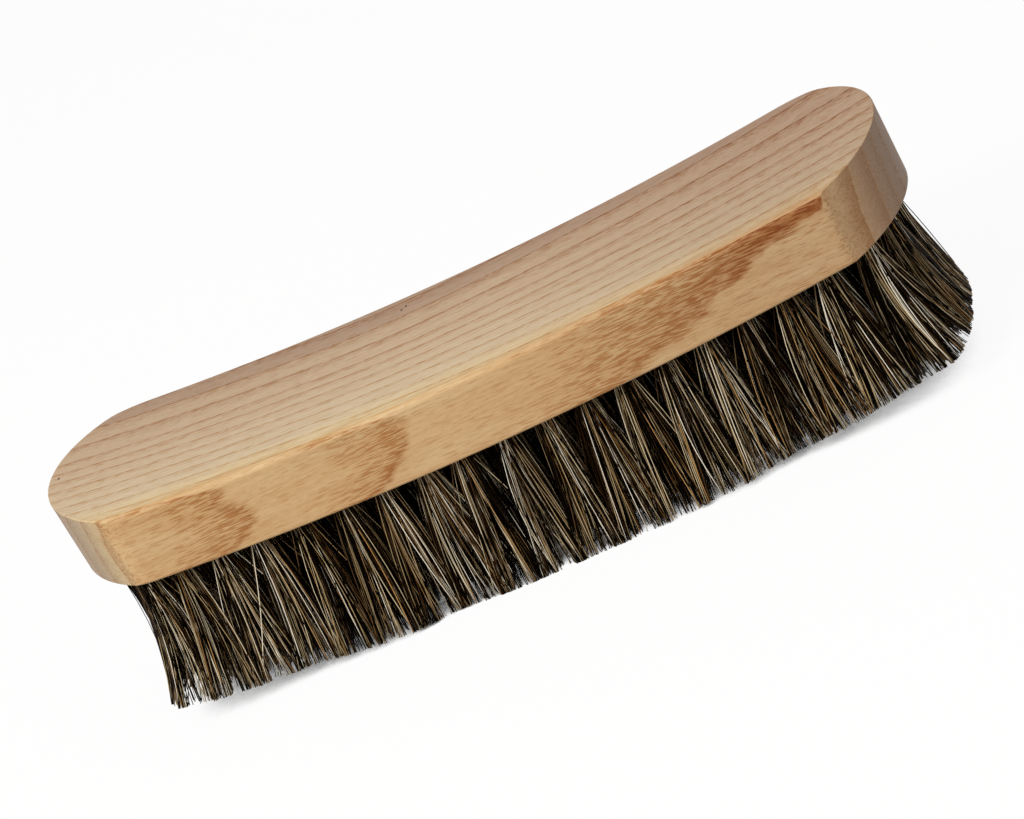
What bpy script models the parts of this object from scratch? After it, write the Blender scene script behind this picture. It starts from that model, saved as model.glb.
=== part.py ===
"""Horsehair brush for clothes and leather: a bent wooden block set with tufts of hair.

The brush stands on its hair. +X runs along the brush, +Z points up, and the
origin is on the surface that the brush stands on, under the middle of the block.

How the real brush is made, and how this model follows it:
- a plank is sawn to a bent profile, hollow on top and crowned below;
- its long arrises are rounded, and its ends are cut to an arc in plan;
- the underside is drilled with blind holes, in five lengthwise lines that close
  in a curved row at each end;
- a folded bundle of hair is pressed into each hole, where it fans out, and the
  hair is trimmed to a crown that is rounder than the wood's.

Here the drilled layer of the underside is cut across into strips, one for each
row of holes. Each strip carries the tufts of its row, and it sits with a small
clearance in a bed that is cut into the block.
"""

import math
import random

import bmesh
import bpy
import numpy as np
from mathutils import Matrix, Vector

MM = 0.001

# Wooden block
BLOCK_LENGTH = 203.0 * MM
BLOCK_WIDTH = 57.0 * MM
BLOCK_THICKNESS = 17.5 * MM
TOP_BEND_RADIUS = 830.0 * MM
UNDERSIDE_BEND_RADIUS = 910.0 * MM
END_DEPTH = 16.6 * MM
TOP_ARRIS_RADIUS = 1.5 * MM
LOWER_ARRIS_RADIUS = 0.8 * MM

# Holes that hold the tufts
HOLE_DIAMETER = 4.6 * MM
HOLE_INSET = 6.5 * MM
END_HOLE_PITCH = 10.0 * MM

# Strips of the underside that carry the tufts
STRIP_DEPTH = 4.0 * MM
STRIP_MARGIN = 1.0 * MM
CLEARANCE = 0.3 * MM

# Hair
TRIM_LENGTH = 32.5 * MM
TRIM_BEND_RADIUS = 560.0 * MM
STANDING_CUT = 0.5 * MM
RAGGEDNESS = 0.7 * MM
SIDE_LEAN = 5.2 * MM
END_LEAN = 4.2 * MM
ROOT_THICKNESS = 1.2 * MM
TIP_THICKNESS = 1.6 * MM
ROOT_DEPTH = 1.2 * MM
STRAND_GAP = 0.5 * MM

# Reach of the cutting tools past what they cut, and the distance that welds two points
OVERRUN = 5.0 * MM
WELD_DISTANCE = 0.01 * MM

# Counts, shares and angles
LINE_COUNT = 5
COLUMN_COUNT = 17
STRANDS_IN_TUFT = 5
STRAND_SIDES = 3
BEND_STEPS = 24
END_STEPS = 14
ARRIS_STEPS = 4
GAP_SAMPLES = 20
LEAST_SPREAD_SHARE = 0.86
LEAN_POWER = 4
SHARP_DEGREES = 35
CAP_DEGREES = 1
SEED = 7

UNDERSIDE_CENTRE = TRIM_LENGTH - STANDING_CUT
TOP_CENTRE = UNDERSIDE_CENTRE + BLOCK_THICKNESS
END_RADIUS = (END_DEPTH**2 + (BLOCK_WIDTH / 2) ** 2) / (2 * END_DEPTH)
END_CENTRE = BLOCK_LENGTH / 2 - END_RADIUS
RIM_WIDTH = HOLE_INSET - HOLE_DIAMETER / 2 - STRIP_MARGIN
ROOT_SPREAD = (HOLE_DIAMETER - ROOT_THICKNESS) / 2


# Scene and materials


def clear_scene():
    for old in list(bpy.data.objects):
        bpy.data.objects.remove(old, do_unlink=True)


def new_collection(name):
    collection = bpy.data.collections.new(name)
    bpy.context.scene.collection.children.link(collection)
    return collection


def make_material(name, colour, roughness, metallic):
    material = bpy.data.materials.new(name)
    material.use_nodes = True
    shader = material.node_tree.nodes["Principled BSDF"]
    shader.inputs["Base Color"].default_value = (*colour, 1.0)
    shader.inputs["Roughness"].default_value = roughness
    shader.inputs["Metallic"].default_value = metallic
    return material


def give_material(solid, material):
    solid.data.materials.clear()
    solid.data.materials.append(material)


# Heights of the bent surfaces


def rise(radius, x):
    """How far an arc of this radius has climbed at x from its lowest point."""
    return radius - math.sqrt(radius * radius - x * x)


def underside_height(x):
    return UNDERSIDE_CENTRE + rise(UNDERSIDE_BEND_RADIUS, x)


def top_height(x):
    return TOP_CENTRE + rise(TOP_BEND_RADIUS, x)


def strip_top_height(x):
    return underside_height(x) + STRIP_DEPTH - CLEARANCE


def bed_top_height(x):
    return underside_height(x) + STRIP_DEPTH


def below_block_height(x):
    return underside_height(x) - OVERRUN


def trim_height(x):
    """Height of the trimmed hair ends, below zero where the standing flat cuts them."""
    return rise(TRIM_BEND_RADIUS, x) - STANDING_CUT


# Solids from outlines


def corner_angle(inset):
    """Half the angle of an end's arc, from the middle of the end to its corner."""
    return math.asin((BLOCK_WIDTH / 2 - inset) / (END_RADIUS - inset))


def on_end_arc(inset, angle):
    """Point of the right end's arc in plan, drawn in evenly by the inset."""
    radius = END_RADIUS - inset
    return Vector((END_CENTRE + radius * math.cos(angle), radius * math.sin(angle)))


def plan_outline(inset, half_angle):
    """Whole plan outline, anticlockwise: an arc at each end, joined by straight sides."""
    angles = [half_angle * (2 * step / END_STEPS - 1) for step in range(END_STEPS + 1)]
    right = [on_end_arc(inset, angle) for angle in angles]
    left = [-point for point in right]
    return right + left


def bent_profile(low, high, half_length):
    """Side profile between two height functions of x, as (x, z) points."""
    places = [half_length * (2 * step / BEND_STEPS - 1) for step in range(BEND_STEPS + 1)]
    lower = [Vector((x, low(x))) for x in places]
    upper = [Vector((x, high(x))) for x in reversed(places)]
    return lower + upper


def draw_outline(name, points, half_depth, matrix, collection):
    """Filled 2D curve through the points, extruded to both sides of its plane."""
    curve = bpy.data.curves.new(name, "CURVE")
    curve.dimensions = "2D"
    curve.fill_mode = "BOTH"
    curve.extrude = half_depth
    spline = curve.splines.new("POLY")
    spline.points.add(len(points) - 1)
    for point, place in zip(spline.points, points):
        point.co = (place.x, place.y, 0, 1)
    spline.use_cyclic_u = True
    drawn = bpy.data.objects.new(name, curve)
    drawn.matrix_world = matrix
    collection.objects.link(drawn)
    return drawn


def evaluated_mesh(source, name):
    """The object's shape with its modifiers, as a new mesh."""
    bpy.context.view_layer.update()
    evaluated = source.evaluated_get(bpy.context.evaluated_depsgraph_get())
    mesh = bpy.data.meshes.new_from_object(evaluated)
    mesh.name = name
    return mesh


def outline_solid(name, points, half_depth, matrix, collection):
    """Solid mesh from a flat outline, with its caps welded on and each cap one face."""
    drawn = draw_outline(name + "_outline", points, half_depth, matrix, collection)
    mesh = evaluated_mesh(drawn, name)
    shape = bmesh.new()
    shape.from_mesh(mesh)
    bmesh.ops.remove_doubles(shape, verts=shape.verts, dist=WELD_DISTANCE)
    level = math.cos(math.radians(CAP_DEGREES))
    caps = [face for face in shape.faces if abs(face.normal.z) > level]
    bmesh.ops.dissolve_faces(shape, faces=caps, use_verts=False)
    bmesh.ops.recalc_face_normals(shape, faces=shape.faces)
    shape.to_mesh(mesh)
    shape.free()
    solid = bpy.data.objects.new(name, mesh)
    solid.matrix_world = drawn.matrix_world
    collection.objects.link(solid)
    bpy.data.objects.remove(drawn)
    return solid


def hide_tool(tool):
    tool.hide_render = True
    tool.display_type = "WIRE"


def add_boolean(target, tool, operation):
    modifier = target.modifiers.new(operation.lower(), "BOOLEAN")
    modifier.operation = operation
    modifier.solver = "EXACT"
    modifier.object = tool


def freeze(solid):
    """Turn the object's modifiers into its mesh."""
    mesh = evaluated_mesh(solid, solid.name)
    solid.modifiers.clear()
    solid.data = mesh


def bent_plank(name, low, high, half_width, collection):
    """A plank sawn to a bent side profile, a little longer than the block."""
    profile = bent_profile(low, high, BLOCK_LENGTH / 2 + OVERRUN)
    upright = Matrix.Rotation(math.radians(90), 4, "X")
    return outline_solid(name, profile, half_width, upright, collection)


def cut_in_plan(slab, outline, tools):
    """Trim a slab to a plan outline, with an upright tool taller than the brush."""
    tool = outline_solid(slab.name + "_plan", outline, BLOCK_LENGTH, Matrix.Identity(4), tools)
    hide_tool(tool)
    add_boolean(slab, tool, "INTERSECT")
    freeze(slab)


def bent_slab(name, inset, low, high, collection, tools):
    """Slab with the block's plan outline, drawn in evenly, between two bent surfaces."""
    slab = bent_plank(name, low, high, BLOCK_WIDTH / 2 + OVERRUN, collection)
    cut_in_plan(slab, plan_outline(inset, corner_angle(inset)), tools)
    return slab


# The wooden block


def round_long_arrises(plank):
    """Round the four long arrises of the plank, the top two more than the lower two."""
    mesh = plank.data
    largest = max(TOP_ARRIS_RADIUS, LOWER_ARRIS_RADIUS)
    weights = mesh.attributes.new("bevel_weight_edge", "FLOAT", "EDGE")
    for edge in mesh.edges:
        ends = [plank.matrix_world @ mesh.vertices[index].co for index in edge.vertices]
        if abs(ends[0].x - ends[1].x) < WELD_DISTANCE:
            continue
        middle = (ends[0] + ends[1]) / 2
        halfway_up = (underside_height(middle.x) + top_height(middle.x)) / 2
        radius = TOP_ARRIS_RADIUS if middle.z > halfway_up else LOWER_ARRIS_RADIUS
        weights.data[edge.index].value = radius / largest
    rounding = plank.modifiers.new("rounding", "BEVEL")
    rounding.limit_method = "WEIGHT"
    rounding.width = largest
    rounding.segments = ARRIS_STEPS
    rounding.use_clamp_overlap = False
    freeze(plank)


def make_block(parts, tools, material):
    """The wooden block, with the bed for the tuft strips cut into its underside."""
    block = bent_plank("wood_block", underside_height, top_height, BLOCK_WIDTH / 2, parts)
    round_long_arrises(block)
    # The tool's last step lies across the corner, so it also clears the block's side.
    past_corner = corner_angle(0) * END_STEPS / (END_STEPS - 1)
    cut_in_plan(block, plan_outline(0, min(past_corner, math.radians(90))), tools)
    bed = bent_slab("strip_bed", RIM_WIDTH, below_block_height, bed_top_height, tools, tools)
    hide_tool(bed)
    add_boolean(block, bed, "DIFFERENCE")
    freeze(block)
    block.data.shade_smooth()
    block.data.set_sharp_from_angle(angle=math.radians(SHARP_DEGREES))
    give_material(block, material)


# Where the holes are


def line_places():
    """Y of each lengthwise line of holes, evenly spaced between the outer two."""
    half_field = BLOCK_WIDTH / 2 - HOLE_INSET
    gaps = LINE_COUNT - 1
    return [half_field * (2 * line / gaps - 1) for line in range(LINE_COUNT)]


def end_row():
    """Holes of the curved row along the right end."""
    radius = END_RADIUS - HOLE_INSET
    per_side = int(corner_angle(HOLE_INSET) * radius / END_HOLE_PITCH)
    turn = END_HOLE_PITCH / radius
    return [on_end_arc(HOLE_INSET, turn * index) for index in range(-per_side, per_side + 1)]


def column_places():
    """X of each column of holes, evenly spaced between the curved rows of the two ends."""
    gaps = COLUMN_COUNT + 1
    return [end_row()[0].x * (2 * column / gaps - 1) for column in range(1, gaps)]


def end_group():
    """All holes past the last column: the curved row, and two holes that fill its hollow."""
    tip = on_end_arc(HOLE_INSET, 0)
    lines = line_places()
    offset = (lines[1] - lines[0]) / 2
    halfway = (column_places()[-1] + tip.x) / 2
    return end_row() + [Vector((halfway, -offset)), Vector((halfway, offset))]


def hole_rows():
    """Every row of holes, from the left end to the right one."""
    right = end_group()
    left = [Vector((-hole.x, hole.y)) for hole in right]
    columns = [[Vector((x, y)) for y in line_places()] for x in column_places()]
    return [left] + columns + [right]


def row_cuts():
    """X of the block's two ends, and of the cuts between the rows, halfway between columns."""
    columns = column_places()
    half_pitch = (columns[1] - columns[0]) / 2
    between = [x - half_pitch for x in columns] + [columns[-1] + half_pitch]
    return [-BLOCK_LENGTH / 2] + between + [BLOCK_LENGTH / 2]


# The hair


def tip_middle(hole):
    """Where the middle of a tuft's end lies in plan: the outer tufts lean outwards."""
    along_share = hole.x / (BLOCK_LENGTH / 2 - HOLE_INSET)
    across_share = hole.y / (BLOCK_WIDTH / 2 - HOLE_INSET)
    lean_x = END_LEAN * math.copysign(abs(along_share) ** LEAN_POWER, along_share)
    lean_y = SIDE_LEAN * across_share
    return Vector((hole.x + lean_x, hole.y + lean_y))


def tip_spread(hole, holes):
    """How far a tuft may fan out before its strands could meet those of its neighbours."""
    here = tip_middle(hole)
    nearest = min((tip_middle(other) - here).length for other in holes if other != hole)
    return (nearest - TIP_THICKNESS - STRAND_GAP) / 2


def tuft_strands(hole, spread, dice):
    """Root, tip and turn of each strand of a tuft: one in the middle, the rest around it."""
    turn = dice.uniform(0, 2 * math.pi)
    strands = []
    for index in range(STRANDS_IN_TUFT):
        angle = turn + 2 * math.pi * index / (STRANDS_IN_TUFT - 1)
        out = Vector((math.cos(angle), math.sin(angle))) if index else Vector((0, 0))
        root = hole + out * ROOT_SPREAD
        tip = tip_middle(hole) + out * spread * dice.uniform(LEAST_SPREAD_SHARE, 1)
        ragged = RAGGEDNESS * dice.uniform(0, 1)
        trimmed = trim_height(tip.x)
        tip_z = 0 if trimmed < 0 else trimmed + ragged
        root_z = underside_height(root.x) + ROOT_DEPTH
        strands.append((Vector((*root, root_z)), Vector((*tip, tip_z)), angle))
    return strands


def add_strand(shape, root, tip, turn):
    """One strand: a slim cone with level ends, slanted so that it runs from root to tip."""
    height = root.z - tip.z
    made = bmesh.ops.create_cone(
        shape,
        cap_ends=True,
        segments=STRAND_SIDES,
        radius1=TIP_THICKNESS / 2,
        radius2=ROOT_THICKNESS / 2,
        depth=height,
        matrix=Matrix.Rotation(turn, 4, "Z"),
    )
    middle = (root + tip) / 2
    slant = (root - tip) / height
    for vert in made["verts"]:
        above = vert.co.z
        vert.co.x += middle.x + above * slant.x
        vert.co.y += middle.y + above * slant.y
        vert.co.z += middle.z


def make_hair(name, strands, tools):
    """All strands of a row in one mesh, ready to be joined to their strip."""
    shape = bmesh.new()
    for root, tip, turn in strands:
        add_strand(shape, root, tip, turn)
    mesh = bpy.data.meshes.new(name)
    shape.to_mesh(mesh)
    shape.free()
    hair = bpy.data.objects.new(name, mesh)
    tools.objects.link(hair)
    hide_tool(hair)
    return hair


def make_saw(name, x_from, x_to, tools):
    """Box between two cuts across the brush, taller and wider than any strip."""
    bpy.ops.mesh.primitive_cube_add(size=1)
    saw = bpy.context.object
    saw.name = name
    saw.scale = (x_to - x_from, BLOCK_WIDTH, BLOCK_LENGTH)
    saw.location = ((x_from + x_to) / 2, 0, UNDERSIDE_CENTRE)
    for owner in list(saw.users_collection):
        owner.objects.unlink(saw)
    tools.objects.link(saw)
    hide_tool(saw)
    return saw


def make_row(name, strands, x_from, x_to, parts, tools, material):
    """A strip of the underside and the tufts of its holes, as one solid."""
    inset = RIM_WIDTH + CLEARANCE
    strip = bent_slab(name, inset, underside_height, strip_top_height, parts, tools)
    add_boolean(strip, make_saw(name + "_saw", x_from, x_to, tools), "INTERSECT")
    add_boolean(strip, make_hair(name + "_hair", strands, tools), "UNION")
    freeze(strip)
    give_material(strip, material)


def least_gap(strands):
    """Least distance between any two strands, from points along them: none cross if it is over 0."""
    roots = np.array([root for root, tip, turn in strands])
    tips = np.array([tip for root, tip, turn in strands])
    gaps = []
    for share in np.linspace(0, 1, GAP_SAMPLES):
        points = roots + (tips - roots) * share
        apart = np.linalg.norm(points[:, None] - points[None], axis=2)
        np.fill_diagonal(apart, np.inf)
        thickness = ROOT_THICKNESS + (TIP_THICKNESS - ROOT_THICKNESS) * share
        gaps.append(apart.min() - thickness)
    return min(gaps)


def make_rows(parts, tools, material):
    dice = random.Random(SEED)
    rows = hole_rows()
    cuts = row_cuts()
    holes = [hole for row in rows for hole in row]
    every_strand = []
    for index, row in enumerate(rows):
        strands = []
        for hole in row:
            strands += tuft_strands(hole, tip_spread(hole, holes), dice)
        x_from = cuts[index] + CLEARANCE / 2
        x_to = cuts[index + 1] - CLEARANCE / 2
        make_row(f"tuft_row_{index + 1:02d}", strands, x_from, x_to, parts, tools, material)
        every_strand += strands
    print("tufts:", len(holes), "strands:", len(every_strand))
    print("least gap between two strands, in mm:", round(least_gap(every_strand) / MM, 2))


def main():
    clear_scene()
    parts = new_collection("horsehair_brush")
    tools = new_collection("cutting_tools")
    wood = make_material("pale_hardwood", (0.62, 0.43, 0.25), 0.55, 0.0)
    hair = make_material("horsehair", (0.10, 0.075, 0.05), 0.45, 0.0)
    make_block(parts, tools, wood)
    make_rows(parts, tools, hair)


main()
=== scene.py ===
# %% [markdown]
# # A horsehair brush
#
# The object is a brush for clothes and leather: a bent wooden block, drilled
# underneath, with about a hundred tufts of mixed horsehair pressed into the holes.
# The structure of the brush comes in as a fixed frame of solids, and this lesson
# dresses it: a finely shaped block of ring-porous wood, and real hair in place of
# the few thick strands of the frame.
#
# Lengths are written in millimetres and turned into metres by one factor.

# %% Load the frame
import math

import bmesh
import bpy
import numpy as np
from mathutils import Matrix, Vector


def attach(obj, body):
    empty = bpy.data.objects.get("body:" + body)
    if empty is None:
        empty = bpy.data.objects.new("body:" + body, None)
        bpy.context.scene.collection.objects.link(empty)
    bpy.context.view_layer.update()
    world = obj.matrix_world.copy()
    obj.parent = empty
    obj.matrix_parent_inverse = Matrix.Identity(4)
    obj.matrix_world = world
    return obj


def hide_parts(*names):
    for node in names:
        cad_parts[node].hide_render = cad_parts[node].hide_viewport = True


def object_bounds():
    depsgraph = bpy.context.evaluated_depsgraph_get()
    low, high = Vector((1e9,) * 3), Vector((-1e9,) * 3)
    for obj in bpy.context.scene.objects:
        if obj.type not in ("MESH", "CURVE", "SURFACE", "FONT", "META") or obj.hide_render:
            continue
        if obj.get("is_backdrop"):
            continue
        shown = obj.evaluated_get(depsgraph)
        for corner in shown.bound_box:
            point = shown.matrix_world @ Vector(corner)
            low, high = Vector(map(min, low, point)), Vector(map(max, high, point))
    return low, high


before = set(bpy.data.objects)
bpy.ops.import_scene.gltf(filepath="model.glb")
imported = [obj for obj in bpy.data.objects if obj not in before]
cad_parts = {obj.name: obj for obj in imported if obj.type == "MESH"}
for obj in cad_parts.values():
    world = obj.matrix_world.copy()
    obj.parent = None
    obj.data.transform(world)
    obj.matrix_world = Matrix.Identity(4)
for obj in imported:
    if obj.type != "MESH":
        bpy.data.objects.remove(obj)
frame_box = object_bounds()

MM = 0.001

scene = bpy.context.scene
scene.view_settings.view_transform = "Standard"
print("nodes in the frame:", len(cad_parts))

# %% [markdown]
# # The camera
#
# The photograph looks down on the brush from its right front, with a long lens,
# and the camera is rolled, so the brush climbs to the right across the picture.
# A camera could be aimed with a tracking constraint, but a roll is easier to give
# with the camera's own three directions, so its matrix is written out from them.

# %% The camera's place
AZIMUTH = math.radians(12.28)
ELEVATION = math.radians(23.59)
ROLL = math.radians(29.4)
DISTANCE = 754.7 * MM
LENS = 120.13
SENSOR_WIDTH = 36.0
BLOCK_MIDDLE_HEIGHT = 40.75 * MM
AIM_RIGHT = 6.857 * MM
AIM_UP = -12.315 * MM


def place_camera():
    """A rolled camera that looks past the middle of the block by the aim distances."""
    forward = Vector(
        (
            -math.sin(AZIMUTH) * math.cos(ELEVATION),
            math.cos(AZIMUTH) * math.cos(ELEVATION),
            -math.sin(ELEVATION),
        )
    )
    level_right = Vector((math.cos(AZIMUTH), math.sin(AZIMUTH), 0))
    level_up = level_right.cross(forward)
    right = level_right * math.cos(ROLL) - level_up * math.sin(ROLL)
    up = level_right * math.sin(ROLL) + level_up * math.cos(ROLL)
    middle = Vector((0, 0, BLOCK_MIDDLE_HEIGHT))
    place = middle - forward * DISTANCE + right * AIM_RIGHT + up * AIM_UP
    axes = Matrix((right, up, -forward)).transposed().to_4x4()
    lens = bpy.data.cameras.new("photo_camera")
    lens.lens = LENS
    lens.sensor_width = SENSOR_WIDTH
    camera = bpy.data.objects.new("photo_camera", lens)
    camera.matrix_world = Matrix.Translation(place) @ axes
    scene.collection.objects.link(camera)
    scene.camera = camera
    print("camera at", [round(value, 3) for value in place])


place_camera()

# %% [markdown]
# # Helpers for node materials
#
# Every finish here is a small program of nodes. A few helpers keep such a program
# readable. They add a node and join its inputs, add a step of arithmetic on numbers
# or on vectors, and blend two numbers or two colours by a share. One grades a value,
# which means that it carries it from one range to another. A grading is given by its
# numbers: the values where it starts and ends, and then both results, unless these
# are 0 and 1.
#
# A colour is written as the values that a paint chart would give, and is turned
# into the linear values that a shader works with.

# %% Node helpers


def paint(red, green, blue):
    """Linear colour from the 0 to 255 values of a paint chart."""
    linear = []
    for value in (red / 255, green / 255, blue / 255):
        linear.append(value / 12.92 if value <= 0.04045 else ((value + 0.055) / 1.055) ** 2.4)
    return (*linear, 1.0)


def join(tree, source, target):
    """Give a socket its value: from another node's socket, or a plain number or colour."""
    if isinstance(source, bpy.types.NodeSocket):
        tree.links.new(source, target)
    else:
        target.default_value = source


def add_node(tree, kind, **inputs):
    """Add a node; the inputs are named as on the node, with underscores for spaces."""
    node = tree.nodes.new(kind)
    for name, value in inputs.items():
        join(tree, value, node.inputs[name.replace("_", " ")])
    return node


def calculate(tree, operation, first, second=0.0, third=0.0):
    """One step of arithmetic on numbers or sockets."""
    node = tree.nodes.new("ShaderNodeMath")
    node.operation = operation
    for value, socket in zip((first, second, third), node.inputs):
        join(tree, value, socket)
    return node.outputs[0]


def calculate_vector(tree, operation, vector, other=(0.0, 0.0, 0.0)):
    """One step of arithmetic on a vector, as a node that gives a vector or a number."""
    node = tree.nodes.new("ShaderNodeVectorMath")
    node.operation = operation
    tree.links.new(vector, node.inputs[0])
    node.inputs[1].default_value = other
    return node


def blend_colours(tree, share, first, second, way="MIX"):
    """A colour between two others, by a share from 0 to 1."""
    node = tree.nodes.new("ShaderNodeMix")
    node.data_type = "RGBA"
    node.blend_type = way
    join(tree, share, node.inputs["Factor"])
    join(tree, first, node.inputs["A"])
    join(tree, second, node.inputs["B"])
    return node.outputs["Result"]


def grade(tree, value, low, high, to_low=0.0, to_high=1.0, soft=True):
    """Carry a value from one range to another, held at its ends."""
    node = tree.nodes.new("ShaderNodeMapRange")
    node.interpolation_type = "SMOOTHSTEP" if soft else "LINEAR"
    for name, number in (
        ("Value", value),
        ("From Min", low),
        ("From Max", high),
        ("To Min", to_low),
        ("To Max", to_high),
    ):
        join(tree, number, node.inputs[name])
    return node.outputs[0]


def blend_numbers(tree, share, first, second):
    """A number between two others, by a share from 0 to 1."""
    return grade(tree, share, 0.0, 1.0, first, second)


def new_material(name):
    """An empty node material with its shader, ready to be wired."""
    material = bpy.data.materials.new(name)
    material.use_nodes = True
    tree = material.node_tree
    return material, tree, tree.nodes["Principled BSDF"]


print("a middle grey, for a shader:", round(paint(128, 128, 128)[0], 3))

# %% [markdown]
# # Floor and light
#
# The brush was photographed in a plain bright studio, cut out on white. A white
# floor under plain lamps would render light grey, and more light would bleach the
# wood, so the floor shows the camera a mostly glowing white and keeps a soft part
# of its real shade, which leaves a light shadow. For all other rays it is a plain
# grey floor, so it bounces no more light than a real one. Floor that the hair covers
# closely doesn't glow either, or it would shine through between the hairs. Ambient
# occlusion finds it: the share of the sky that nothing near the floor hides.
#
# One large lamp stands high at the left front. It lights the top, the near side
# and the left end alike, and leaves the right end in shade. A weak lamp at the
# right front keeps that end readable.

# %% The floor
FLOOR_RADIUS = 4.0
FLOOR_STEPS = 48
GLOW_SHARE = 0.93
WHITE = (1.0, 1.0, 1.0, 1.0)
SHADOW_COLOUR = (0.95, 0.95, 0.95, 1.0)
PLAIN_FLOOR_COLOUR = (0.5, 0.5, 0.5, 1.0)
COVER_REACH = 30.0 * MM
COVER_SAMPLES = 8
COVERED = (0.1, 0.3, 1.0, 0.0)


def seen_directly(tree):
    """1 where the picture, a reflection or clear glass looks, and 0 for other light."""
    path = tree.nodes.new("ShaderNodeLightPath")
    seen = calculate(tree, "MAXIMUM", path.outputs["Is Camera Ray"], path.outputs["Is Glossy Ray"])
    return calculate(tree, "MAXIMUM", seen, path.outputs["Is Transmission Ray"])


def under_hair(tree):
    """1 on floor that the hair covers closely, 0 in the open."""
    cover = add_node(tree, "ShaderNodeAmbientOcclusion", Distance=COVER_REACH)
    cover.samples = COVER_SAMPLES
    return grade(tree, cover.outputs["AO"], *COVERED)


def blend_shaders(tree, share, first, second):
    """A surface between two others, by a share from 0 to 1."""
    node = tree.nodes.new("ShaderNodeMixShader")
    join(tree, share, node.inputs[0])
    tree.links.new(first.outputs[0], node.inputs[1])
    tree.links.new(second.outputs[0], node.inputs[2])
    return node


def floor_material():
    material, tree, shader = new_material("studio_floor")
    tree.nodes.remove(shader)
    plain = add_node(tree, "ShaderNodeBsdfDiffuse", Color=PLAIN_FLOOR_COLOUR)
    shadow = add_node(tree, "ShaderNodeBsdfDiffuse", Color=SHADOW_COLOUR)
    glow = add_node(tree, "ShaderNodeEmission", Color=WHITE, Strength=1.0)
    glowing = blend_shaders(tree, GLOW_SHARE, shadow, glow)
    in_the_open = calculate(tree, "SUBTRACT", 1.0, under_hair(tree))
    share = calculate(tree, "MULTIPLY", seen_directly(tree), in_the_open)
    surface = blend_shaders(tree, share, plain, glowing)
    tree.links.new(surface.outputs[0], tree.nodes["Material Output"].inputs["Surface"])
    return material


def object_from(name, shape):
    """Turn a drawn shape into an object of the scene."""
    mesh = bpy.data.meshes.new(name)
    shape.to_mesh(mesh)
    shape.free()
    made = bpy.data.objects.new(name, mesh)
    scene.collection.objects.link(made)
    return made


def make_floor():
    shape = bmesh.new()
    bmesh.ops.create_circle(shape, cap_ends=True, segments=FLOOR_STEPS, radius=FLOOR_RADIUS)
    floor = object_from("floor", shape)
    floor.data.materials.append(floor_material())
    floor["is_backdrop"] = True


make_floor()
print("floor radius, m:", FLOOR_RADIUS)

# %% The sky and the lamps
SKY_STRENGTH = 0.42
KEY_PLACE = Vector((-0.62, -0.72, 0.95))
KEY_SIZE = 0.55
KEY_POWER = 13.5
FILL_PLACE = Vector((0.9, -0.95, 0.5))
FILL_SIZE = 0.8
FILL_POWER = 2.6
LAMP_COLOUR = (1.0, 0.97, 0.93)


def make_sky():
    world = bpy.data.worlds.new("studio_sky")
    world.use_nodes = True
    scene.world = world
    tree = world.node_tree
    background = tree.nodes["Background"]
    background.inputs["Color"].default_value = WHITE
    strength = grade(tree, seen_directly(tree), 0.0, 1.0, SKY_STRENGTH, 1.0, soft=False)
    tree.links.new(strength, background.inputs["Strength"])


def make_lamp(name, place, size, power):
    """A square soft lamp that points at the block."""
    light = bpy.data.lights.new(name, "AREA")
    light.size = size
    light.energy = power
    light.color = LAMP_COLOUR
    lamp = bpy.data.objects.new(name, light)
    lamp.location = place
    aim = Vector((0, 0, BLOCK_MIDDLE_HEIGHT)) - place
    lamp.rotation_euler = aim.to_track_quat("-Z", "Y").to_euler()
    scene.collection.objects.link(lamp)


make_sky()
make_lamp("key_lamp", KEY_PLACE, KEY_SIZE, KEY_POWER)
make_lamp("fill_lamp", FILL_PLACE, FILL_SIZE, FILL_POWER)
print("lamps, watts:", KEY_POWER, FILL_POWER)

# %% [markdown]
# # The shape of the block
#
# The real block is sawn from a plank to a bent profile, cut to an arc at each end,
# and sanded by hand. Its long edges are rounded and its end edges only eased. Of its
# four upright corners, the two at the far side are well rounded and the near ones
# less, the one at the near right least of all.
#
# Bending is easiest at the end. The block is drawn flat first: one outline, carried
# over rounded edges from the bottom to the top. Then it is sliced across in many
# places, and every point is lifted onto the bend.

# %% Sizes of the block
BLOCK_LENGTH = 203.0 * MM
BLOCK_WIDTH = 57.0 * MM
BLOCK_THICKNESS = 17.5 * MM
UNDERSIDE_HEIGHT = 32.0 * MM
TOP_BEND_RADIUS = 830.0 * MM
UNDERSIDE_BEND_RADIUS = 910.0 * MM
END_DEPTH = 16.6 * MM
FAR_CORNER_RADIUS = 18.0 * MM
NEAR_LEFT_CORNER_RADIUS = 9.0 * MM
NEAR_RIGHT_CORNER_RADIUS = 4.0 * MM
TOP_ARRIS_RADIUS = 1.5 * MM
LOWER_ARRIS_RADIUS = 0.8 * MM
END_ARRIS_RADIUS = 0.3 * MM

END_RADIUS = (END_DEPTH**2 + (BLOCK_WIDTH / 2) ** 2) / (2 * END_DEPTH)
END_CENTRE = BLOCK_LENGTH / 2 - END_RADIUS


def rise(radius, x):
    """How far an arc of this radius has climbed at x from its lowest point."""
    return radius - math.sqrt(radius * radius - x * x)


def underside_height(x):
    return UNDERSIDE_HEIGHT + rise(UNDERSIDE_BEND_RADIUS, x)


def top_height(x):
    return UNDERSIDE_HEIGHT + BLOCK_THICKNESS + rise(TOP_BEND_RADIUS, x)


print("end radius, mm:", round(END_RADIUS / MM, 2))

# %% The outline in plan
END_STEPS = 40
CORNER_STEPS = 8
SIDE_STEPS = 5


def arc_points(centre, radius, start, stop, steps):
    """Points on an arc, each with the outward direction there."""
    points = []
    for step in range(steps + 1):
        angle = start + (stop - start) * step / steps
        out = Vector((math.cos(angle), math.sin(angle)))
        points.append((centre + out * radius, out))
    return points


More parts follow.
